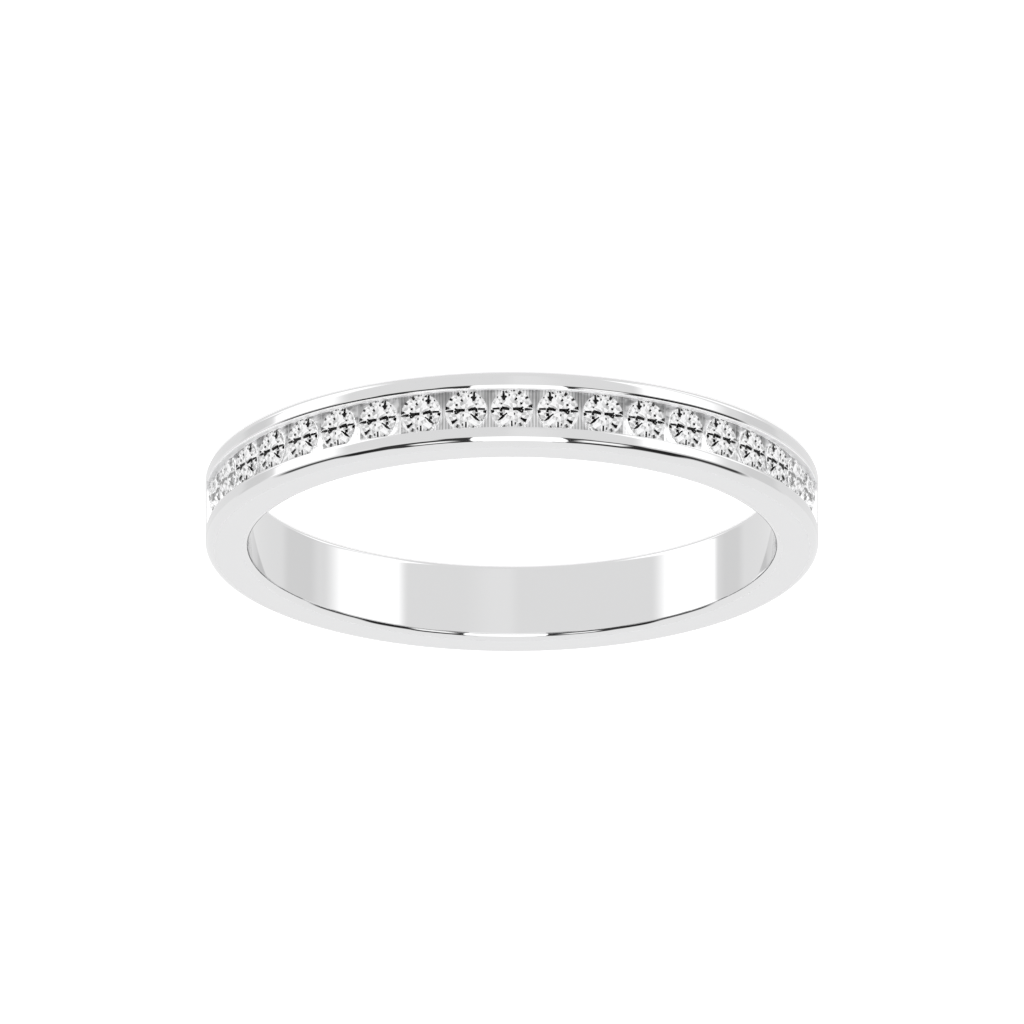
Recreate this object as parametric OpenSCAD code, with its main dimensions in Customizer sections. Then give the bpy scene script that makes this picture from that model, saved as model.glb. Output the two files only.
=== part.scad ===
/* [Band] */
// Inside diameter of the band, which sets the finger size
bore_d = 17.3; // [15:0.1:21]
// Thickness of the metal between the bore and the outer surface
wall_t = 1.42; // [1.36:0.02:1.8]
// Width of the band along the finger
band_w = 2.58; // [2.5:0.02:3.2]
// Radius of the two rounded outer edges
outer_edge_r = 0.28; // [0.1:0.02:0.3]
// Radius of the two rounded edges of the bore
bore_edge_r = 0.2; // [0.1:0.02:0.36]

/* [Channel] */
// Depth of the stones' girdles below the top of the rails
girdle_depth = 0.25; // [0.24:0.01:0.3]
// How far each rail reaches over the girdles
rail_grip = 0.02; // [0.01:0.005:0.04]
// Depth of the girdle groove cut into the side of each rail
groove_depth = 0.05; // [0.05:0.01:0.08]
// Height of the groove above the middle of the girdles
groove_rise = 0.08; // [0.07:0.01:0.1]
// Depth of the channel's floor below the middle of the girdles
floor_drop = 0.06; // [0.05:0.01:0.1]
// Radius of the rail's softened inner edge
lip_r = 0.236; // [0.2:0.004:0.25]
// Width of each rail that the softened edge takes up
lip_w = 0.13; // [0.08:0.01:0.15]

/* [Stones] */
// Stones on each side of the centre stone
side_stones = 9; // [2:1:9]
// Diameter of a stone at its girdle
stone_d = 1.39; // [1.3:0.01:1.44]
// Gap between the girdles of two neighbours
stone_gap = 0.135; // [0.1:0.005:0.2]
// Width of the table across its corners, as a share of the diameter
table_share = 0.57; // [0.53:0.01:0.62]
// Slope of the crown's main facets
crown_angle = 34.5; // [32:0.5:36]
// Slope of the pavilion's main facets
pavilion_angle = 40.75; // [40:0.25:42]
// Thickness of the girdle, as a share of the diameter
girdle_share = 0.03; // [0.025:0.005:0.04]
// Share of the crown, from table to girdle, that the star facets take
star_share = 0.5; // [0.4:0.05:0.6]
// Share of the pavilion, from girdle to point, that the lower facets take
lower_share = 0.78; // [0.7:0.02:0.84]
// Gap between a stone's pavilion and its seat
seat_gap = 0.026; // [0.02:0.002:0.028]

/* [Hidden] */
$fn = 96;
bore_r = bore_d / 2;
outer_r = bore_r + wall_t;
mid_z = band_w / 2;
cut_over = 0.3; // how far a cut runs past the metal that it cuts

stone_r = stone_d / 2;
girdle_t = stone_d * girdle_share;
girdle_r = outer_r - girdle_depth;
stone_count = 2 * side_stones + 1;
// Half the angle between two stones, at which their girdles are stone_gap apart
half_pitch = atan(stone_r / girdle_r) + asin(stone_gap / 2 / norm([girdle_r, stone_r]));
pitch = 2 * half_pitch;
channel_half_angle = (side_stones + 0.5) * pitch;

opening_half_w = stone_r - rail_grip;
groove_half_w = opening_half_w + groove_depth;
groove_top = girdle_r + groove_rise;
floor_r = girdle_r - floor_drop;
lip_rise = 0.001; // lifts the lip's arc, so that it crosses the outer surface at a small angle

// A seat is a cone of the pavilion's slope, with a small flat at its point
seat_slope = tan(pavilion_angle);
seat_top_depth = 0.035;
seat_point_r = 0.012;
seat_wide_r = stone_r + seat_gap / sin(pavilion_angle);
seat_top_r = seat_wide_r - (seat_top_depth - girdle_t / 2) / seat_slope;
seat_h = (seat_top_r - seat_point_r) * seat_slope;

// The stone's heights are measured from the middle of the girdle, outwards from the ring
table_r = stone_r * table_share;
mains = 8;
step = 360 / mains;
flat_of = cos(step / 2);
table_z = girdle_t / 2 + (stone_r - table_r) * tan(crown_angle);
star_r = table_r * flat_of + star_share * (stone_r - table_r * flat_of);
star_z = girdle_t / 2 + (stone_r - star_r * flat_of) * tan(crown_angle);
lower_r = stone_r * (1 - lower_share);
lower_z = -girdle_t / 2 - (stone_r - lower_r * flat_of) * tan(pavilion_angle);
point_z = -girdle_t / 2 - stone_r * tan(pavilion_angle);

function stone_name(i) = str("stone_", i < 10 ? "0" : "", i);

// What rounding takes off a sharp corner of the section, seen in the plane of radius and height
module corner_waste(corner, inward, r) {
    centre = corner + r * inward;
    start = corner - cut_over * inward;
    difference() {
        translate([min(start.x, centre.x), min(start.y, centre.y)])
            square(r + cut_over);
        translate(centre)
            circle(r);
    }
}

// Section of the plain shank
module band_section() {
    difference() {
        translate([bore_r, 0])
            square([wall_t, band_w]);
        corner_waste([outer_r, 0], [-1, 1], outer_edge_r);
        corner_waste([outer_r, band_w], [-1, -1], outer_edge_r);
        corner_waste([bore_r, 0], [1, 1], bore_edge_r);
        corner_waste([bore_r, band_w], [1, -1], bore_edge_r);
    }
}

// Section of the channel: the opening between the rails, their softened edges and the grooves
module channel_section() {
    translate([floor_r, -opening_half_w])
        square([outer_r + cut_over - floor_r, 2 * opening_half_w]);
    translate([floor_r, -groove_half_w])
        square([groove_top - floor_r, 2 * groove_half_w]);
    for (side = [0, 1])
        mirror([0, side])
            difference() {
                translate([outer_r - lip_r, 0])
                    square([lip_r + cut_over, opening_half_w + lip_w]);
                translate([outer_r - lip_r + lip_rise, opening_half_w + lip_w])
                    circle(lip_r);
            }
}

// Places its children at a stone's girdle, with +Z out of the ring and +X along the row
module at_stone(i) {
    rotate([0, 0, (i - side_stones - 1) * pitch])
        translate([0, -girdle_r, mid_z])
            rotate([90, 0, 0])
                children();
}

module seat() {
    translate([0, 0, -seat_top_depth - seat_h])
        cylinder(h = seat_h, r1 = seat_point_r, r2 = seat_top_r);
}

module band() {
    color("gainsboro")
        difference() {
            rotate_extrude()
                band_section();
            rotate([0, 0, -90 - channel_half_angle])
                translate([0, 0, mid_z])
                    rotate_extrude(angle = 2 * channel_half_angle)
                        channel_section();
            for (i = [1 : stone_count])
                at_stone(i)
                    seat();
        }
}

// A point at a radius, a height and an angle counted in steps between the main facets
function around(r, k, z) = [r * cos(k * step), r * sin(k * step), z];

// Height at a girdle point of the facet through a point at the half step and two girdle corners
function facet_z(inner_r, inner_z, corner_z) =
    let (chord_r = stone_r * cos(step / 4),
         inner_run = inner_r * cos(step / 4))
    corner_z + (inner_z - corner_z) * (stone_r - chord_r) / (inner_run - chord_r);

upper_mid_z = facet_z(star_r, star_z, girdle_t / 2);
lower_mid_z = facet_z(lower_r, lower_z, -girdle_t / 2);

// Rings of points, from the table down: 8 on the table, 8 stars, 32 and 32 on the girdle, 8 below
around_girdle = 4 * mains;
stone_points = concat(
    [for (k = [0 : mains - 1]) around(table_r, k, table_z)],
    [for (k = [0 : mains - 1]) around(star_r, k + 0.5, star_z)],
    [for (j = [0 : around_girdle - 1]) around(stone_r, j / 4, j % 2 == 0 ? girdle_t / 2 : upper_mid_z)],
    [for (j = [0 : around_girdle - 1]) around(stone_r, j / 4, j % 2 == 0 ? -girdle_t / 2 : lower_mid_z)],
    [for (k = [0 : mains - 1]) around(lower_r, k + 0.5, lower_z)],
    [[0, 0, point_z]]
);
function table_at(k) = k % mains;
function star_at(k) = mains + k % mains;
function upper_at(j) = 2 * mains + j % around_girdle;
function lower_at(j) = 2 * mains + around_girdle + j % around_girdle;
function low_star_at(k) = 2 * mains + 2 * around_girdle + k % mains;
point_at = 3 * mains + 2 * around_girdle;

// Faces are listed clockwise as seen from outside
stone_faces = concat(
    [[for (k = [0 : mains - 1]) table_at(mains - 1 - k)]],
    [for (k = [0 : mains - 1]) each let (j = 4 * k) [
        [table_at(k), table_at(k + 1), star_at(k)],
        [table_at(k), star_at(k), upper_at(j)],
        [table_at(k + 1), upper_at(j + 4), star_at(k)],
        [star_at(k), upper_at(j + 1), upper_at(j)],
        [star_at(k), upper_at(j + 2), upper_at(j + 1)],
        [star_at(k), upper_at(j + 3), upper_at(j + 2)],
        [star_at(k), upper_at(j + 4), upper_at(j + 3)],
        [low_star_at(k), lower_at(j), lower_at(j + 1)],
        [low_star_at(k), lower_at(j + 1), lower_at(j + 2)],
        [low_star_at(k), lower_at(j + 2), lower_at(j + 3)],
        [low_star_at(k), lower_at(j + 3), lower_at(j + 4)],
        [point_at, lower_at(j), low_star_at(k)],
        [point_at, low_star_at(k), lower_at(j + 4)],
    ]],
    [for (j = [0 : around_girdle - 1]) each [
        [upper_at(j), upper_at(j + 1), lower_at(j + 1)],
        [upper_at(j), lower_at(j + 1), lower_at(j)],
    ]]
);

module stone(i) {
    color("aliceblue")
        at_stone(i)
            polyhedron(stone_points, stone_faces, convexity = 2);
}

band();
for (i = [1 : stone_count])
    stone(i);
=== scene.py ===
import math
import random

import bmesh
import bpy
from mathutils import Matrix, Vector


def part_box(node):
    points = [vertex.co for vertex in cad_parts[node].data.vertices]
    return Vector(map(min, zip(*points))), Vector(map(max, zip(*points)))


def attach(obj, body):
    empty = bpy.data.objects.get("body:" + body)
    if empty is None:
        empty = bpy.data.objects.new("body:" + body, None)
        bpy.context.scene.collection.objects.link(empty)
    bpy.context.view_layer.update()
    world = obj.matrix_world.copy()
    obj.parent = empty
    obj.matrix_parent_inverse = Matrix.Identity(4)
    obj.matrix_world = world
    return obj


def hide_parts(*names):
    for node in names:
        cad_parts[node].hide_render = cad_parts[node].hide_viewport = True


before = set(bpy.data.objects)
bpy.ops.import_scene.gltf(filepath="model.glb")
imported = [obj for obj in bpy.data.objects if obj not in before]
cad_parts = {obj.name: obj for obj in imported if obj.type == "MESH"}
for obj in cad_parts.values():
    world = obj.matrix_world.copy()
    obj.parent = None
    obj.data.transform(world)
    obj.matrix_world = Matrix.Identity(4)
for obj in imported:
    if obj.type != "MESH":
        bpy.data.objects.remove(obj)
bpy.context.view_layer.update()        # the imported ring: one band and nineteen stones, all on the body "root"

bandLow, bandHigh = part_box("band")
mm = 0.001               # sizes below are in millimetres, as a maker writes them, and angles in degrees
ringRadius = (bandHigh.x - bandLow.x) / 2 / mm
ringWidth = (bandHigh.z - bandLow.z) / mm
ringMiddle = ringWidth / 2

bandSizes = {
    "wall": 1.42,            # metal between the bore and the outer surface
    "outerEdge": 0.28,       # radius of the two rounded outer edges
    "boreEdge": 0.20,        # radius of the two rounded edges of the bore
    "opening": 0.675,        # half the width of the opening between the rails
    "groove": 0.725,         # half the width of the girdle groove under the rails
    "grooveTop": 0.17,       # depth of the groove's top below the outer surface
    "floor": 0.31,           # depth of the channel's floor below the outer surface
    "seatDip": 0.035,        # fall of the floor from the bar between two stones to the rims of their seats
    "lipRadius": 0.236,      # rounding of a rail's inner edge
    "lipWidth": 0.13,        # width of the rail that this rounding takes up
    "lipRise": 0.001,        # lifts the rounding's centre, so that it starts at a small angle
    "lipSteps": 6,
    "frontWallTop": 4,       # point of a rail's section, from the floor up, where its brushed wall ends
    "rearWallTop": 6,
    "support": 0.012,        # distance of the extra rows that keep the flats' shading flat
    "arcSteps": 14,          # flats in a quarter round
    "plainStep": 1.5,        # degrees of one column in the plain shank
    "sharpAngle": 24,        # bends above this are shaded as edges
    "rimRounds": 30,         # rounds of the search for a seat's rim, each closer than the last
}
satinSlot, wallSlot = 1, 2       # material slots of the band; its polished surfaces have the first one, 0
stoneSizes = {
    "perSide": 9,            # stones on each side of the centre stone
    "diameter": 1.39,
    "gap": 0.135,            # between the girdles of two neighbours
    "girdleDepth": 0.25,     # of the middle of the girdles below the rails' tops
    "girdleShare": 0.03,     # girdle thickness as a share of the diameter
    "pavilion": 40.75,       # slope of the pavilion and of the seats
    "seatGap": 0.026,        # between a pavilion and its seat
    "seatPoint": 0.012,      # radius of the flat at the point of a seat
    "columns": 12,           # columns of the band to one stone
}

girdleRadius = ringRadius - stoneSizes["girdleDepth"]
stoneRadius = stoneSizes["diameter"] / 2
halfPitch = math.degrees(
    math.atan(stoneRadius / girdleRadius)
    + math.asin(stoneSizes["gap"] / 2 / math.hypot(girdleRadius, stoneRadius)))
channelEnd = (2 * stoneSizes["perSide"] + 1) * halfPitch


# Camera, at the photograph's angle to the ring
photo = {
    "size": 1024,            # pixels of the square picture
    "pixelsPerMm": 30.45,
    "tilt": 20.0,            # of the view above the plane of the ring
    "distance": 200,         # mm; the view is parallel, so this only keeps the camera clear of the ring
    "reach": (1, 2000),      # mm from the camera, the nearest and farthest thing that it shows
}


def makeCamera():
    tilt = math.radians(photo["tilt"])
    back = Vector((0, -math.cos(tilt), math.sin(tilt)))
    right = Vector((-1, 0, 0))       # the picture is taken upside down: the stones' side is at its top
    up = back.cross(right)
    camera = bpy.data.objects.new("photoCamera", bpy.data.cameras.new("photoCamera"))
    bpy.context.scene.collection.objects.link(camera)
    camera.data.type = "ORTHO"
    camera.data.ortho_scale = photo["size"] / photo["pixelsPerMm"] * mm
    camera.data.clip_start = photo["reach"][0] * mm
    camera.data.clip_end = photo["reach"][1] * mm
    pose = Matrix((right, up, back)).transposed().to_4x4()
    pose.translation = Vector((0, 0, ringMiddle * mm)) + back * photo["distance"] * mm
    camera.matrix_world = pose
    bpy.context.scene.camera = camera


makeCamera()
print("camera ready")


# Band: the same section, channel and seats as the solid, with finer rounds
def arcPoints(centre, radius, start, end, steps):
    return [(centre[0] + radius * math.cos(math.radians(start + (end - start) * i / steps)),
             centre[1] + radius * math.sin(math.radians(start + (end - start) * i / steps)))
            for i in range(steps + 1)]


def bandOutline():
    s = bandSizes
    bore, side, steps, near = ringRadius - s["wall"], ringMiddle, s["arcSteps"], s["support"]
    edge, inner = s["outerEdge"], s["boreEdge"]
    upper = (
        [(ringRadius, side - edge - near)]
        + arcPoints((ringRadius - edge, side - edge), edge, 0, 90, steps)
        + [(ringRadius - edge - near, side), (bore + inner + near, side)]
        + arcPoints((bore + inner, side - inner), inner, 90, 180, steps)
        + [(bore, side - inner - near)]
    )
    lower = [(r, -z) for r, z in reversed(upper)]
    return upper + lower


def railOutline():
    s = bandSizes
    centre = (ringRadius - s["lipRadius"] + s["lipRise"], s["opening"] + s["lipWidth"])
    start = math.degrees(math.acos(1 - s["lipRise"] / s["lipRadius"]))
    end = math.degrees(math.asin(s["lipWidth"] / s["lipRadius"]))
    lip = arcPoints(centre, s["lipRadius"], -end, -start, s["lipSteps"])
    wall = [
        (ringRadius - s["floor"], s["groove"]),
        (ringRadius - s["grooveTop"], s["groove"]),
        (ringRadius - s["grooveTop"], s["opening"]),
        (lip[0][0] - s["support"], s["opening"]),
    ]
    return wall + lip + [(ringRadius, lip[-1][1] + s["support"])]


def floorRows():
    half, rows = bandSizes["groove"], stoneSizes["columns"]
    return [-half + 2 * half * i / rows for i in range(rows + 1)]


def seatRadius(height):
    s = stoneSizes
    slope = math.tan(math.radians(s["pavilion"]))
    wide = stoneRadius + s["seatGap"] / math.sin(math.radians(s["pavilion"]))
    return wide + (height + s["diameter"] * s["girdleShare"] / 2) / slope


def seatRim(direction):
    floor = ringRadius - bandSizes["floor"] - bandSizes["seatDip"]
    radius = stoneRadius
    for _ in range(bandSizes["rimRounds"]):
        height = math.sqrt(floor ** 2 - (radius * math.cos(direction)) ** 2) - girdleRadius
        radius = seatRadius(height)
    return radius, height


def makeBand():
    points, numberOf, faces, walls = [], {}, [], set()

    def corner(x, y, z):
        key = (round(x, 5), round(y, 5), round(z, 5))        # faces that meet share their points
        if key not in numberOf:
            numberOf[key] = len(points)
            points.append((x * mm, y * mm, (z + ringMiddle) * mm))
        return numberOf[key]

    def at(radius, angle, z):
        turn = math.radians(angle)
        return corner(radius * math.sin(turn), -radius * math.cos(turn), z)

    def inStone(middle, along, across, height):
        turn, radius = math.radians(middle), girdleRadius + height
        return corner(radius * math.sin(turn) + along * math.cos(turn),
                      -radius * math.cos(turn) + along * math.sin(turn), across)

    def sweep(outline, angles, wallTop=0):
        for a, b in zip(angles, angles[1:]):
            for (r0, z0), (r1, z1) in zip(outline, outline[1:]):
                if max(r0, r1) <= wallTop:
                    walls.add(len(faces))
                faces.append([at(r0, a, z0), at(r0, b, z0), at(r1, b, z1), at(r1, a, z1)])

    perStone = stoneSizes["columns"]
    stones = 2 * stoneSizes["perSide"] + 1
    channelSteps = stones * perStone
    channelAngles = [-channelEnd + 2 * channelEnd * i / channelSteps for i in range(channelSteps + 1)]
    plainSteps = round((360 - 2 * channelEnd) / bandSizes["plainStep"])
    plainAngles = [channelEnd + (360 - 2 * channelEnd) * i / plainSteps for i in range(plainSteps + 1)]
    rail = railOutline()
    lowRail = [(r, -z) for r, z in reversed(rail)]
    around = [rail[-1]] + bandOutline() + [lowRail[0]]
    sweep(around, channelAngles)
    sweep(around, plainAngles)
    sweep(rail, channelAngles, rail[bandSizes["frontWallTop"]][0])
    sweep(lowRail, channelAngles, rail[bandSizes["rearWallTop"]][0])
    sweep([lowRail[0], rail[-1]], plainAngles)

    # The wall at each end of the channel
    floor = ringRadius - bandSizes["floor"]
    wall = lowRail + [(floor, z) for z in floorRows()[1:-1]] + rail
    walls.update((len(faces), len(faces) + 1))
    faces.append([at(r, -channelEnd, z) for r, z in wall])
    faces.append([at(r, channelEnd, z) for r, z in reversed(wall)])
    firstInside = len(faces)

    # The floor round each seat, and the seat
    slope = math.tan(math.radians(stoneSizes["pavilion"]))
    for k in range(-stoneSizes["perSide"], stoneSizes["perSide"] + 1):
        middle = 2 * halfPitch * k
        angles = [middle - halfPitch + 2 * halfPitch * i / perStone for i in range(perStone + 1)]
        rows = floorRows()
        border = (
            [(a, rows[0]) for a in angles[:-1]] + [(angles[-1], z) for z in rows[:-1]]
            + [(a, rows[-1]) for a in reversed(angles[1:])] + [(angles[0], z) for z in reversed(rows[1:])]
        )
        outer, rim, deep, point = [], [], [], []
        for a, z in border:
            outer.append(at(floor, a, z))
            direction = math.atan2(z, floor * math.sin(math.radians(a - middle)))
            radius, height = seatRim(direction)
            low = (stoneSizes["seatPoint"] - radius) * slope + height
            for ring, share in ((rim, 1), (deep, 0.5), (point, 0)):
                reach = stoneSizes["seatPoint"] + (radius - stoneSizes["seatPoint"]) * share
                ring.append(inStone(middle, reach * math.cos(direction), reach * math.sin(direction),
                                    low + (height - low) * share))
        for ringA, ringB in ((outer, rim), (rim, deep), (deep, point)):
            for i in range(len(border)):
                j = (i + 1) % len(border)
                faces.append([ringA[i], ringA[j], ringB[j], ringB[i]])
        faces.append(point)

    mesh = bpy.data.meshes.new("polishedBand")
    mesh.from_pydata(points, [], faces)
    for number in walls:
        mesh.polygons[number].material_index = wallSlot
    for number in range(firstInside, len(faces)):
        mesh.polygons[number].material_index = satinSlot
    mesh.shade_smooth()
    mesh.set_sharp_from_angle(angle=math.radians(bandSizes["sharpAngle"]))
    piece = bpy.data.objects.new("polishedBand", mesh)
    bpy.context.scene.collection.objects.link(piece)
    return piece


band = makeBand()
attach(band, "root")
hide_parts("band")
print("band ready:", len(band.data.polygons), "faces")


# Short ways to place shader nodes: a value is set on its socket, and a socket is linked to it
def newNode(tree, kind, inputs=None, **settings):
    node = tree.nodes.new(kind)
    for name, value in settings.items():
        setattr(node, name, value)
    for name, value in (inputs or {}).items():
        if isinstance(value, bpy.types.NodeSocket):
            tree.links.new(value, node.inputs[name])
        else:
            node.inputs[name].default_value = value
    return node


def calculate(tree, operation, *values):
    return newNode(tree, "ShaderNodeMath", dict(enumerate(values)), operation=operation).outputs[0]


def ramp(tree, value, fromLow, fromHigh, toLow=0.0, toHigh=1.0, shape="LINEAR"):
    return newNode(tree, "ShaderNodeMapRange", {
        "Value": value, "From Min": fromLow, "From Max": fromHigh, "To Min": toLow, "To Max": toHigh,
    }, interpolation_type=shape).outputs[0]


def choose(tree, mask, first, second):
    return newNode(tree, "ShaderNodeMix", {"Factor": mask, 2: first, 3: second},
                   data_type="FLOAT").outputs[0]


def tinted(tree, colour, tone):
    return newNode(tree, "ShaderNodeMix", {"Factor": 1.0, 6: colour, 7: tone},
                   data_type="RGBA", blend_type="MULTIPLY").outputs[2]


# Place on the ring: the turn from the centre stone in radians and the position in metres
def ringPlace(tree):
    place = newNode(tree, "ShaderNodeSeparateXYZ", {
        "Vector": tree.nodes.new("ShaderNodeTexCoord").outputs["Object"]}).outputs
    turn = calculate(tree, "ARCTAN2", place["X"], calculate(tree, "MULTIPLY", place["Y"], -1.0))
    return turn, place


def newMaterial(name):
    material = bpy.data.materials.new(name)
    material.use_nodes = True
    tree = material.node_tree
    return material, tree, tree.nodes["Principled BSDF"]


def newGroup(name, inputs, outputs):
    tree = bpy.data.node_groups.new(name, "ShaderNodeTree")
    for socketName, value in inputs.items():
        socket = tree.interface.new_socket(socketName, in_out="INPUT", socket_type="NodeSocketFloat")
        socket.default_value = value
    for socketName, kind in outputs.items():
        tree.interface.new_socket(socketName, in_out="OUTPUT", socket_type=kind)
    return tree, tree.nodes.new("NodeGroupInput").outputs, tree.nodes.new("NodeGroupOutput").inputs


def placeGroup(tree, group, inputs):
    return newNode(tree, "ShaderNodeGroup", inputs, node_tree=group).outputs


# Hand polish, a group that every surface uses with its own values: uneven gloss, faint tone and fine waves
polishSizes = {
    "finer": 9.0,            # the waves' scale, against the haze's
    "hazeDetail": 2.0,
    "waveDetail": 3.0,
    "toneSwing": 0.02,       # how much the colour's tone varies, and its lowest value
    "lowestTone": 0.99,
}


def makePolishGroup():
    sizes = polishSizes
    tree, given, result = newGroup(
        "handPolish",
        {"Scale": 400.0, "Haze": 0.02, "Depth": 0.2},
        {"Haze": "NodeSocketFloat", "Tone": "NodeSocketFloat", "Height": "NodeSocketFloat"})
    place = tree.nodes.new("ShaderNodeTexCoord").outputs["Object"]
    broad = newNode(tree, "ShaderNodeTexNoise", {
        "Vector": place, "Scale": given["Scale"], "Detail": sizes["hazeDetail"]}).outputs[0]
    fine = newNode(tree, "ShaderNodeTexNoise", {
        "Vector": place, "Scale": calculate(tree, "MULTIPLY", given["Scale"], sizes["finer"]),
        "Detail": sizes["waveDetail"]}).outputs[0]
    tone = calculate(tree, "MULTIPLY_ADD", broad, sizes["toneSwing"], sizes["lowestTone"])
    tree.links.new(calculate(tree, "MULTIPLY", broad, given["Haze"]), result["Haze"])
    tree.links.new(tone, result["Tone"])
    tree.links.new(calculate(tree, "MULTIPLY", fine, given["Depth"]), result["Height"])
    return tree


handPolish = makePolishGroup()

# Polished metal
metalLook = {
    "colour": (0.78, 0.78, 0.784, 1),
    "roughness": 0.03,
    "polishScale": 420.0,
    "haze": 0.02,
    "waveDepth": 0.15,
    "waveHeight": 0.0000004,     # metres
    "waveStrength": 0.3,
    "lappedRoughness": 0.52,     # added on the two flat side faces, which are lapped and not buffed
    "lappedTone": 0.08,          # added to their tone
    "lappedNormals": (0.9995, 0.9999),       # the normal's share along the bore: both start, and are full
}


def makeMetal():
    look = metalLook
    material, tree, shader = newMaterial("whiteGold")
    polish = placeGroup(tree, handPolish, {
        "Scale": look["polishScale"], "Haze": look["haze"], "Depth": look["waveDepth"]})
    normal = newNode(tree, "ShaderNodeSeparateXYZ", {
        "Vector": tree.nodes.new("ShaderNodeTexCoord").outputs["Normal"]}).outputs
    lapped = ramp(tree, calculate(tree, "ABSOLUTE", normal["Z"]), *look["lappedNormals"])
    tone = calculate(tree, "MULTIPLY_ADD", lapped, look["lappedTone"], polish["Tone"])
    tree.links.new(tinted(tree, look["colour"], tone), shader.inputs["Base Color"])
    roughness = calculate(tree, "ADD", polish["Haze"], look["roughness"])
    roughness = calculate(tree, "MULTIPLY_ADD", lapped, look["lappedRoughness"], roughness)
    tree.links.new(roughness, shader.inputs["Roughness"])
    bump = newNode(tree, "ShaderNodeBump", {
        "Height": polish["Height"], "Strength": look["waveStrength"], "Distance": look["waveHeight"]})
    tree.links.new(bump.outputs[0], shader.inputs["Normal"])
    shader.inputs["Metallic"].default_value = 1
    return material


band.data.materials.append(makeMetal())

# Satin finish inside the channel, where no polishing wheel reaches, with painted shade, a painted highlight and
# painted light in its tone
satinLook = {
    "colour": (0.80, 0.80, 0.805, 1),
    "roughness": 0.26,
    "polishScale": 900.0,
    "haze": 0.15,
    "streakScale": 20000.0,      # streaks to a metre along the row
    "streakLength": 0.06,        # how much finer they are along the row than across it
    "streakRange": (0.40, 0.58),         # noise between which a streak goes from darkest to full tone
    "streakHeight": 0.000003,    # metres
    "streakStrength": 0.6,
    "noiseDetail": 2.0,
    "darkest": 0.80,
    # the bar between two stones, with a painted highlight along it
    "barPlace": -0.020,          # mm from halfway between them, away from the centre stone
    "barWidth": 0.030,           # mm, half of it
    "barFade": (0.7, 1.3),       # shares of that between which it fades
    # tone of the painted highlight along the bar
    "barHighlight": 1.0,
    "lineSpacing": 0.105,        # mm between the lines of darker tone beside the bar
    "lineDarkness": 0.19,
    "lineTurn": (12, 24),        # degrees from the centre stone, where the lines give way to smudges
    "smudgeScale": 5200.0,
    "smudgeLength": 0.55,
    "smudgeRange": (0.36, 0.64),
    "smudgeTones": (0.45, 1.25),
    # shade in the rear corners, and the weaker one on the outer side of the bar
    "cornerTone": 0.56,
    "cornerFade": (0.08, 0.30),          # mm from the bar between which the shade fades
    "cornerHeights": (-0.45, 0.15),      # mm above the ring's middle between which it fades
    "outerTone": 0.88,
    "outerTurns": (9, 15, 30, 40),       # degrees from the centre stone: it starts, is full, ebbs and ends
    "outerSide": (-0.03, 0.05),          # mm past the bar where it starts and is full
    # light that the front rail throws on the floor, on the same side of the bar
    "frontLevel": 0.50,
    "frontHeights": (-0.05, 0.20),       # mm above the ring's middle where it starts and is full
    "frontTurns": (19, 26, 40, 48),      # degrees, as above
    "frontSide": (-0.06, 0.0),           # mm past the bar where it starts and is full
}


# The level where the turn lies between the two middle values, falling to zero at the outer two
def between(tree, turn, start, full, ebb, end, level=1.0):
    rising, falling = ramp(tree, turn, start, full, 0.0, level), ramp(tree, turn, ebb, end, 1.0, 0.0)
    return calculate(tree, "MULTIPLY", rising, falling)


def streaksAlongRow(tree, turn, place):
    look = satinLook
    along = calculate(tree, "MULTIPLY", turn, ringRadius * mm)
    streakPlace = newNode(tree, "ShaderNodeCombineXYZ", {
        "X": along, "Y": calculate(tree, "MULTIPLY", place["Z"], look["streakLength"])}).outputs[0]
    streaks = newNode(tree, "ShaderNodeTexNoise", {
        "Vector": streakPlace, "Scale": look["streakScale"], "Detail": look["noiseDetail"]}).outputs[0]
    smudgePlace = newNode(tree, "ShaderNodeCombineXYZ", {
        "X": calculate(tree, "MULTIPLY", along, look["smudgeLength"]), "Y": place["Z"]}).outputs[0]
    smudges = newNode(tree, "ShaderNodeTexNoise", {
        "Vector": smudgePlace, "Scale": look["smudgeScale"], "Detail": look["noiseDetail"]}).outputs[0]
    return streaks, ramp(tree, smudges, *look["smudgeRange"], *look["smudgeTones"])


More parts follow.
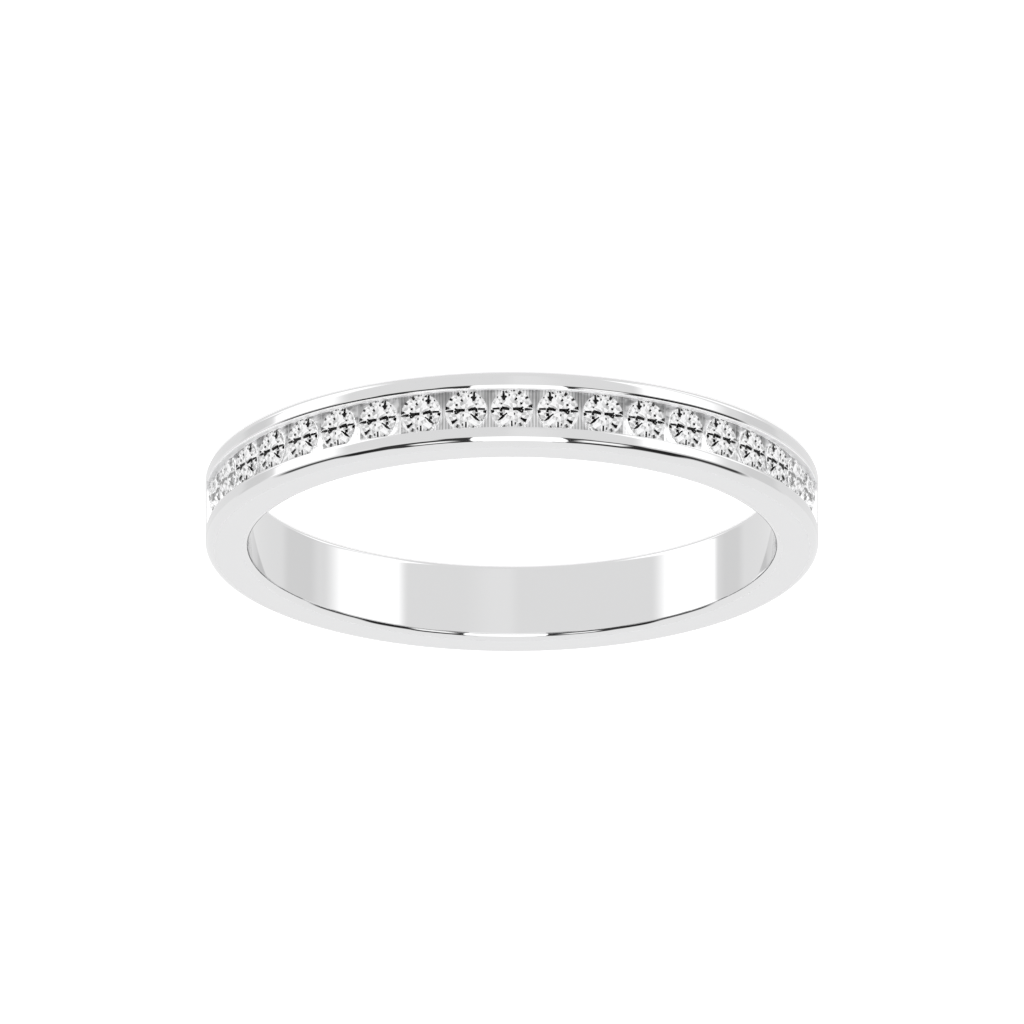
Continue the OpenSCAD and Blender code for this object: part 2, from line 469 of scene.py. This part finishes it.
def makeSatin():
    look = satinLook
    material, tree, shader = newMaterial("satinChannel")
    polish = placeGroup(tree, handPolish, {
        "Scale": look["polishScale"], "Haze": look["haze"], "Depth": 0.0})
    turn, place = ringPlace(tree)
    streaks, smudges = streaksAlongRow(tree, turn, place)
    tone = ramp(tree, streaks, *look["streakRange"], look["darkest"], 1.0)

    # Distance from the bar between two stones, which has a painted highlight, and the lines of darker tone
    # beside it
    fromCentre = calculate(tree, "ABSOLUTE", turn)
    turned = calculate(tree, "DEGREES", fromCentre)
    half = math.radians(halfPitch)
    fromMiddle = calculate(tree, "WRAP", calculate(tree, "SUBTRACT", fromCentre, half), half, -half)
    fromMiddle = calculate(tree, "MULTIPLY", fromMiddle, ringRadius)
    pastBar = calculate(tree, "SUBTRACT", fromMiddle, look["barPlace"])
    fromBar = calculate(tree, "ABSOLUTE", pastBar)
    lines = calculate(tree, "MULTIPLY", fromBar, 2 * math.pi / look["lineSpacing"])
    lines = calculate(tree, "COSINE", lines)
    lines = ramp(tree, lines, -1.0, 1.0, 1 - 2 * look["lineDarkness"], 1.0)
    smudged = ramp(tree, turned, *look["lineTurn"])
    tone = calculate(tree, "MULTIPLY", tone, calculate(tree, "MAXIMUM", lines, smudged))
    smudges = calculate(tree, "MULTIPLY_ADD", calculate(tree, "SUBTRACT", smudges, 1.0), smudged, 1.0)
    tone = calculate(tree, "MINIMUM", calculate(tree, "MULTIPLY", tone, smudges), 1.0)

    # Shade in the rear corners, weaker on the outer side of the bar
    height = calculate(tree, "SUBTRACT", calculate(tree, "DIVIDE", place["Z"], mm), ringMiddle)
    shade = ramp(tree, fromBar, *look["cornerFade"], look["cornerTone"], 1.0)
    lower = ramp(tree, height, *look["cornerHeights"], look["cornerTone"], 1.0)
    shade = calculate(tree, "MAXIMUM", shade, lower)
    outer = calculate(tree, "MULTIPLY", between(tree, turned, *look["outerTurns"]),
                      ramp(tree, pastBar, *look["outerSide"], 0.0, look["outerTone"]))
    shade = calculate(tree, "MAXIMUM", shade, outer)
    # A painted highlight along the bar: the tone is raised there before the shade
    fade = [look["barWidth"] * share for share in look["barFade"]]
    bar = ramp(tree, fromBar, *fade, look["barHighlight"], 0.0)
    tone = calculate(tree, "MULTIPLY", calculate(tree, "MAXIMUM", tone, bar), shade)

    # The front rail's light, on the outer side of the bar only
    light = between(tree, turned, *look["frontTurns"], look["frontLevel"])
    light = calculate(tree, "MULTIPLY", light, ramp(tree, height, *look["frontHeights"]))
    light = calculate(tree, "MULTIPLY", light, ramp(tree, pastBar, *look["frontSide"]))
    tree.links.new(light, shader.inputs["Emission Color"])
    shader.inputs["Emission Strength"].default_value = 1

    tree.links.new(tinted(tree, look["colour"], tone), shader.inputs["Base Color"])
    tree.links.new(calculate(tree, "ADD", polish["Haze"], look["roughness"]), shader.inputs["Roughness"])
    bump = newNode(tree, "ShaderNodeBump", {
        "Height": streaks, "Strength": look["streakStrength"], "Distance": look["streakHeight"]})
    tree.links.new(bump.outputs[0], shader.inputs["Normal"])
    shader.inputs["Metallic"].default_value = 1
    return material


# Brushed inner walls of the rails, and the walls at the channel's ends
wallLook = {
    "colour": (0.97, 0.97, 0.975, 1),
    "roughness": 0.55,
    "polishScale": 1500.0,
    "haze": 0.1,
    "glow": 0.27,                # light that the stones throw onto them
    "glowTurn": (45, 78),        # degrees from the centre stone, where that light fades out
    "endGlow": 0.55,             # the same on the walls at the channel's ends
    "endTurn": (0.8, 0.2),       # degrees before the channel's end between which it grows
    "endHeights": (-0.45, -0.30),        # mm above the ring's middle between which it grows
}


def makeWalls():
    look = wallLook
    material, tree, shader = newMaterial("brushedWalls")
    polish = placeGroup(tree, handPolish, {
        "Scale": look["polishScale"], "Haze": look["haze"], "Depth": 0.0})
    tree.links.new(tinted(tree, look["colour"], polish["Tone"]), shader.inputs["Base Color"])
    tree.links.new(calculate(tree, "ADD", polish["Haze"], look["roughness"]), shader.inputs["Roughness"])
    turn, place = ringPlace(tree)
    turned = calculate(tree, "DEGREES", calculate(tree, "ABSOLUTE", turn))
    glow = ramp(tree, turned, *look["glowTurn"], look["glow"], 0.0)
    turns = [channelEnd - before for before in look["endTurn"]]
    heights = [(ringMiddle + height) * mm for height in look["endHeights"]]
    endGlow = ramp(tree, turned, *turns, 0.0, look["endGlow"])
    risen = ramp(tree, place["Z"], *heights)
    endGlow = calculate(tree, "MULTIPLY", endGlow, risen)
    tree.links.new(calculate(tree, "MAXIMUM", glow, endGlow), shader.inputs["Emission Color"])
    shader.inputs["Emission Strength"].default_value = 1
    shader.inputs["Metallic"].default_value = 1
    return material


band.data.materials.append(makeSatin())
band.data.materials.append(makeWalls())
print("metal ready")

# Stones
stoneLook = {
    "colour": (1, 1, 1, 1),
    "ior": 1.12,             # far below a diamond's, so that the facets inside show in their places
    "polishScale": 900.0,
    "coat": 0.2,             # gloss of the outer facets
}


def makeBrilliant():
    look = stoneLook
    material, tree, shader = newMaterial("brilliant")
    shader.inputs["Transmission Weight"].default_value = 1
    shader.inputs["IOR"].default_value = look["ior"]
    shader.inputs["Roughness"].default_value = 0
    shader.inputs["Coat Weight"].default_value = look["coat"]
    shader.inputs["Coat Roughness"].default_value = 0
    polish = placeGroup(tree, handPolish, {"Scale": look["polishScale"], "Haze": 0.0, "Depth": 0.0})
    tree.links.new(tinted(tree, look["colour"], polish["Tone"]), shader.inputs["Base Color"])
    return material


brilliant = makeBrilliant()
stoneNames = sorted(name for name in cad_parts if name.startswith("stone_"))
for name in stoneNames:
    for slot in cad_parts[name].material_slots:
        slot.material = brilliant
print("stones ready:", len(stoneNames))

# Mirror facets inside each stone: what its pavilion shows through the crown, with its dark reflections painted
# on as plates
mirrorFacets = {
    "radius": 0.99,          # share of the stone's radius
    "height": 0.004,         # mm above the middle of the girdle
    "relief": 0.007,         # mm up and down, which tilts the facets
    "depth": 0.05,           # mm of the body below them
    "rimShare": 0.2,         # of that depth, at the body's rim
    "rings": (0.0, 0.13, 0.34, 0.52, 0.70, 0.86, 1.0),
    "counts": (1, 8, 16, 16, 32, 32, 32),
    "darkestTone": 0.50,     # of the light facets
    "spread": 1.6,           # above 1, more of them are near white
    "seed": 11,
    "darkHeight": 0.017,     # mm above the middle of the girdle, of the dark flashes, plates of painted dark reflection
    "darkThickness": 0.003,
    "bold": 1.40,            # widens the flashes below
    "lastDark": 7,           # the last stone from the centre one outwards whose flashes aren't pale
}
# Finishes of these bodies: name, colour, metallic, roughness and light of its own. That light is what
# comes through a light facet from behind, and what a stone passes on to its seat
mirrorFinishes = (
    ("lightFacet", (0.58, 0.58, 0.585, 1), 1, 0.0, 0.385),
    # the dark, grey and pale finishes are for the plates of painted reflection
    ("darkFacet", (0.004, 0.004, 0.004, 1), 0, 0.5, 0),
    ("greyFacet", (0.10, 0.10, 0.10, 1), 0, 0.5, 0),
    ("litBack", (0.9, 0.9, 0.9, 1), 0, 1.0, 0.9),
    ("paleFacet", (0.36, 0.36, 0.36, 1), 0, 0.5, 0),
)
finishNumber = {finish[0]: number for number, finish in enumerate(mirrorFinishes)}
# Dark flashes, plates of painted dark reflection, run from x, y to x, y, with the width at both ends, in shares
# of the stone's radius; x runs along the row, away from the centre stone, and y towards the floor
darkFlashes = (
    (0.04, 0.022, 0.48, 0.03, 0.10, 0.105),      # right arm and its head
    (0.42, 0.03, 0.53, 0.13, 0.08, 0.05),
    (0.29, -0.01, 0.47, -0.15, 0.07, 0.05),
    (0.47, -0.15, 0.53, 0.02, 0.05, 0.05),
    (0.58, 0.005, 0.72, 0.008, 0.095, 0.085),
    (0.70, 0.008, 0.95, 0.018, 0.075, 0.035),
    (0.77, 0.165, 0.97, 0.175, 0.045, 0.14),
    (-0.12, 0.005, -0.30, 0.05, 0.085, 0.105),   # left arm and its head
    (-0.27, 0.045, -0.49, 0.075, 0.105, 0.12),
    (-0.48, 0.09, -0.52, -0.10, 0.07, 0.08),
    (-0.57, 0.050, -0.91, 0.040, 0.07, 0.06),
    (-0.83, -0.080, -0.985, -0.105, 0.07, 0.13),
    (-0.57, -0.225, -0.43, -0.225, 0.10, 0.10),
    (-0.23, -0.175, -0.40, -0.32, 0.04, 0.06),   # lower diagonals
    (-0.38, -0.30, -0.50, -0.42, 0.08, 0.09),
    (-0.49, -0.41, -0.65, -0.54, 0.08, 0.03),
    (0.40, -0.41, 0.56, -0.51, 0.07, 0.08),
    (0.52, -0.50, 0.67, -0.56, 0.08, 0.14),
    (-0.01, -0.55, -0.01, -0.83, 0.05, 0.06),    # foot
    (-0.41, 0.93, -0.37, 0.60, 0.06, 0.10),      # upper head
    (-0.39, 0.68, -0.365, 0.46, 0.19, 0.06),
    (-0.32, 0.61, -0.24, 0.64, 0.08, 0.05),
    (-0.30, 0.93, -0.23, 0.82, 0.06, 0.07),
    (0.40, 0.92, 0.31, 0.74, 0.10, 0.07),        # dashes round the edge
    (0.76, 0.635, 0.62, 0.54, 0.09, 0.06),
    (0.15, 0.55, 0.22, 0.49, 0.09, 0.09),
    (0.38, 0.305, 0.49, 0.30, 0.08, 0.07),
)
# grey flashes: plates of painted grey reflection, in the same columns
greyFlashes = (
    (0.12, -0.17, 0.12, -0.28, 0.05, 0.05),
    (0.12, -0.675, 0.20, -0.68, 0.08, 0.08),
    (0.37, -0.65, 0.42, -0.82, 0.07, 0.08),
    (-0.37, -0.77, -0.35, -0.85, 0.05, 0.05),
    (-0.71, 0.63, -0.65, 0.62, 0.06, 0.06),
    (0.05, 0.945, 0.15, 0.935, 0.06, 0.06),
    (-0.12, 0.75, -0.13, 0.66, 0.05, 0.05),
    (-0.53, 0.29, -0.45, 0.29, 0.06, 0.06),
    (-0.05, 0.945, -0.01, 0.945, 0.05, 0.05),
    (0.20, 0.73, 0.23, 0.68, 0.05, 0.04),
)


def planFacets():
    m, rng = mirrorFacets, random.Random(mirrorFacets["seed"])
    rings = []
    for number, (share, count) in enumerate(zip(m["rings"], m["counts"])):
        offset = 0.5 * (number % 2) * 360 / count
        rings.append([(share * m["radius"] * stoneRadius, offset + 360 * i / count,
                       m["height"] + (rng.uniform(-1, 1) * m["relief"] if share < 1 else 0))
                      for i in range(count)])
    return rings


def fillRings(inner, outer, firstInner, firstOuter):
    if len(inner) == 1:
        return [(firstInner, firstOuter + n, firstOuter + (n + 1) % len(outer))
                for n in range(len(outer))]

    def angle(ring, n):
        return ring[n % len(ring)][1] + 360 * (n // len(ring))

    triangles, i, j = [], 0, 0
    while i < len(inner) or j < len(outer):
        here, there = firstInner + i % len(inner), firstOuter + j % len(outer)
        if j >= len(outer) or (i < len(inner) and angle(inner, i + 1) <= angle(outer, j + 1)):
            i += 1
            triangles.append((here, there, firstInner + i % len(inner)))
        else:
            j += 1
            triangles.append((here, there, firstOuter + j % len(outer)))
    return triangles


def flashPlate(stroke, first):
    x0, y0, x1, y1, width0, width1 = stroke
    half = mirrorFacets["bold"] / 2 / math.hypot(x1 - x0, y1 - y0)
    nx, ny = -(y1 - y0) * half, (x1 - x0) * half
    outline = [(x0 + nx * width0, y0 + ny * width0), (x0 - nx * width0, y0 - ny * width0),
               (x1 - nx * width1, y1 - ny * width1), (x1 + nx * width1, y1 + ny * width1)]
    heights = mirrorFacets["darkHeight"], mirrorFacets["darkHeight"] + mirrorFacets["darkThickness"]
    points = [(x * stoneRadius, y * stoneRadius, h) for h in heights for x, y in outline]
    a, b = [first + i for i in range(4)], [first + 4 + i for i in range(4)]
    return points, [a, b[::-1]] + [[a[i], b[i], b[(i + 1) % 4], a[(i + 1) % 4]] for i in range(4)]


def makeMirrorMesh(name, k):
    m = mirrorFacets
    rings = planFacets()
    local, faces, firsts = [], [], []
    for ring in rings:
        firsts.append(len(local))
        local += [(r * math.cos(math.radians(a)), r * math.sin(math.radians(a)), h) for r, a, h in ring]
    for n in range(len(rings) - 1):
        faces += fillRings(rings[n], rings[n + 1], firsts[n], firsts[n + 1])
    finishes = ["lightFacet"] * len(faces)

    # The body below the facets
    rim, low, count = firsts[-1], len(local), len(rings[-1])
    local += [(x, y, h - m["depth"] * m["rimShare"]) for x, y, h in local[rim:]]
    local.append((0, 0, -m["depth"]))
    for i in range(count):
        j = (i + 1) % count
        faces += [(rim + j, rim + i, low + i, low + j), (low + j, low + i, low + count)]
        finishes += ["litBack"] * 2
    # Plates of painted dark and grey reflection over the facets, pale in the outer stones
    for finish, strokes in (("darkFacet", darkFlashes), ("greyFacet", greyFlashes)):
        for stroke in strokes:
            points, sides = flashPlate(stroke, len(local))
            local += points
            faces += sides
            finishes += [finish if abs(k) <= m["lastDark"] else "paleFacet"] * len(sides)

    turn, side = math.radians(2 * halfPitch * k), 1 if k > 0 else -1
    points = []
    for x, y, h in local:
        along, radius = side * x, girdleRadius + h
        points.append(((radius * math.sin(turn) + along * math.cos(turn)) * mm,
                       (-radius * math.cos(turn) + along * math.sin(turn)) * mm,
                       (ringMiddle - y) * mm))
    mesh = bpy.data.meshes.new(name)
    mesh.from_pydata(points, [], faces)
    rng = random.Random(m["seed"])
    tone = mesh.attributes.new("tone", "FLOAT", "FACE")
    for polygon, finish in zip(mesh.polygons, finishes):
        polygon.material_index = finishNumber[finish]
        darker = (1 - m["darkestTone"]) * rng.random() ** m["spread"] if finish == "lightFacet" else 0
        tone.data[polygon.index].value = 1 - darker
    return mesh


def makeMirrors(k, materials):
    name = "mirrors_%02d" % (k + stoneSizes["perSide"] + 1)
    mesh = makeMirrorMesh(name, k)
    for material in materials:
        mesh.materials.append(material)
    work = bmesh.new()
    work.from_mesh(mesh)
    bmesh.ops.recalc_face_normals(work, faces=work.faces)
    work.to_mesh(mesh)
    work.free()
    piece = bpy.data.objects.new(name, mesh)
    bpy.context.scene.collection.objects.link(piece)
    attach(piece, "root")


def makeMirrorMaterial(name, colour, metallic, roughness, glow):
    material, tree, shader = newMaterial(name)
    tone = newNode(tree, "ShaderNodeAttribute", attribute_name="tone").outputs["Fac"]
    tree.links.new(tinted(tree, colour, tone), shader.inputs["Base Color"])
    shader.inputs["Metallic"].default_value = metallic
    shader.inputs["Roughness"].default_value = roughness
    shader.inputs["Specular IOR Level"].default_value = 0
    tree.links.new(tone, shader.inputs["Emission Color"])
    shader.inputs["Emission Strength"].default_value = glow
    return material


mirrorMaterials = [makeMirrorMaterial(*finish) for finish in mirrorFinishes]
for k in range(-stoneSizes["perSide"], stoneSizes["perSide"] + 1):
    makeMirrors(k, mirrorMaterials)
print("facets ready")

# Room: a pale studio with soft panels, bright and dark
room = {
    "brightness": 1.13,      # of everything that the metal reflects
    "base": 0.875,           # between the panels
    "camera": 1.0,           # the background of the picture
    "floorLight": 1.15,      # on the floor and other matt surfaces
    "stoneBase": 1.02,       # between the panels, as seen through the stones
    # left, right, low, high, softness of the left and right sides and of the ends, in degrees, how far the
    # left and right sides spread for each degree upwards, and brightness;
    # sides are turns from the camera's direction, to the right as the picture shows it
    "panels": (
        (-181, 181, -91, -12, 1, 1, 10, 0, 0, 0.79),
        (-1, 15, -60, -12, 6, 16, 10, 0, 0, 0.84),
        (66, 95, -8, 18, 8, 10, 14, 0, 0, 0.05),
        (44, 70, -4, 37, 6, 8, 14, 0, 0, 0.02),
        (18, 50, -10, 46, 1, 6, 8, 0, 0, 0.03),
        (18, 30, -14, 49, 1, 8, 6, 0, 0, 0.04),
        (25, 43, 1, 25, 6, 6, 10, 0, 0, 1.10),
        (-95, -66, 0, 20, 10, 8, 10, 0, 0, 0.08),
        (-69, -44, 3, 38, 8, 6, 12, 0, 0, 0.02),
        (-50, -13, -4, 45, 6, 1, 8, 0, 0, 0.04),
        (-27, -13, -13, 48, 6, 1, 6, 0, 0, 0.04),
        (-39, -23, 17, 33, 5, 8, 8, 0, 0, 1.15),
        (97, 119, -60, -5, 8, 8, 10, 0, 0, 0.70),
        (-121, -105, -60, -5, 8, 8, 10, 0, 0, 0.70),
        (50, 84, -60, -18, 8, 16, 3, 0, 0, 1.30),
        (-101, -69.4, -60, -12, 5, 12, 6, 0, 0, 1.30),
        (-122, -98, -66, -32, 6, 10, 8, 0, 0, 1.20),
        (98, 122, -66, -32, 10, 6, 8, 0, 0, 1.20),
        (-14.4, 18.3, -13, 44.5, 0.5, 0.5, 1, 0.04, 0.085, 1.30),
    ),
    "stonePanels": (
        (-181, 181, -91, -40, 1, 1, 20, 0, 0, 0.80),
    ),
}


def makePanelGroup():
    tree, given, result = newGroup(
        "softPanel",
        {"Azimuth": 0, "Elevation": 0, "Left": 0, "Right": 0, "Low": 0, "High": 0, "Left Softness": 1,
         "Right Softness": 1, "End Softness": 1, "Left Spread": 0, "Right Spread": 0},
        {"Mask": "NodeSocketFloat"})

    def edge(value, place, softness, rising):
        half = calculate(tree, "MULTIPLY", softness, 0.5)
        below, above = calculate(tree, "SUBTRACT", place, half), calculate(tree, "ADD", place, half)
        levels = (0.0, 1.0) if rising else (1.0, 0.0)
        return ramp(tree, value, below, above, *levels, "SMOOTHSTEP")

    rise = calculate(tree, "SUBTRACT", given["Elevation"], given["Low"])
    spread = calculate(tree, "MULTIPLY", rise, given["Left Spread"])
    left = calculate(tree, "SUBTRACT", given["Left"], spread)
    right = calculate(tree, "MULTIPLY_ADD", rise, given["Right Spread"], given["Right"])
    mask = calculate(tree, "MULTIPLY",
                     edge(given["Azimuth"], left, given["Left Softness"], True),
                     edge(given["Azimuth"], right, given["Right Softness"], False))
    rows = calculate(tree, "MULTIPLY",
                     edge(given["Elevation"], given["Low"], given["End Softness"], True),
                     edge(given["Elevation"], given["High"], given["End Softness"], False))
    tree.links.new(calculate(tree, "MULTIPLY", mask, rows), result["Mask"])
    return tree


def makeRoom():
    world = bpy.data.worlds.new("studio")
    bpy.context.scene.world = world
    world.use_nodes = True
    tree = world.node_tree
    tree.nodes.clear()
    softPanel = makePanelGroup()
    direction = newNode(tree, "ShaderNodeSeparateXYZ", {
        "Vector": tree.nodes.new("ShaderNodeTexCoord").outputs["Generated"]}).outputs
    sideways = calculate(tree, "MULTIPLY", direction["X"], -1.0)
    towards = calculate(tree, "MULTIPLY", direction["Y"], -1.0)
    azimuth = calculate(tree, "DEGREES", calculate(tree, "ARCTAN2", sideways, towards))
    elevation = calculate(tree, "DEGREES", calculate(tree, "ARCSINE", direction["Z"]))

    def layered(base, panels):
        value = base
        for (left, right, low, high, softLeft, softRight, softEnd,
             spreadLeft, spreadRight, level) in panels:
            mask = placeGroup(tree, softPanel, {
                "Azimuth": azimuth, "Elevation": elevation,
                "Left": left, "Right": right, "Low": low, "High": high,
                "Left Softness": softLeft, "Right Softness": softRight, "End Softness": softEnd,
                "Left Spread": spreadLeft, "Right Spread": spreadRight})["Mask"]
            value = choose(tree, mask, value, level)
        return value

    ray = tree.nodes.new("ShaderNodeLightPath").outputs
    inStone = calculate(tree, "GREATER_THAN", ray["Transmission Depth"], 0.5)
    onMetal = calculate(tree, "MULTIPLY", layered(room["base"], room["panels"]), room["brightness"])
    seen = choose(tree, inStone, onMetal, layered(room["stoneBase"], room["stonePanels"]))
    seen = choose(tree, ray["Is Diffuse Ray"], seen, room["floorLight"])
    seen = choose(tree, ray["Is Camera Ray"], seen, room["camera"])
    light = newNode(tree, "ShaderNodeBackground", {"Color": (1, 1, 1, 1), "Strength": seen})
    output = tree.nodes.new("ShaderNodeOutputWorld")
    tree.links.new(light.outputs[0], output.inputs["Surface"])


makeRoom()

# Floor
floorLook = {
    "size": 400,             # mm
    "colour": (0.9, 0.9, 0.9, 1),
    "roughness": 0.9,
    "glow": 0.45,            # light of its own, which keeps it as white as the background
}


def makeFloor():
    half = floorLook["size"] / 2 * mm
    mesh = bpy.data.meshes.new("paleFloor")
    corners = [(-half, -half, 0), (half, -half, 0), (half, half, 0), (-half, half, 0)]
    mesh.from_pydata(corners, [], [[0, 1, 2, 3]])
    floor = bpy.data.objects.new("paleFloor", mesh)
    bpy.context.scene.collection.objects.link(floor)
    material, _, shader = newMaterial("paleFloor")
    shader.inputs["Base Color"].default_value = floorLook["colour"]
    shader.inputs["Roughness"].default_value = floorLook["roughness"]
    shader.inputs["Specular IOR Level"].default_value = 0
    shader.inputs["Emission Color"].default_value = (1, 1, 1, 1)
    shader.inputs["Emission Strength"].default_value = floorLook["glow"]
    mesh.materials.append(material)
    floor.visible_glossy = False
    floor.visible_transmission = False


makeFloor()
bpy.context.scene.view_settings.view_transform = "Standard"
cycles = bpy.context.scene.cycles
cycles.max_bounces = 12
cycles.transmission_bounces = 8
cycles.glossy_bounces = 6
cycles.diffuse_bounces = 2
print("room and floor ready")
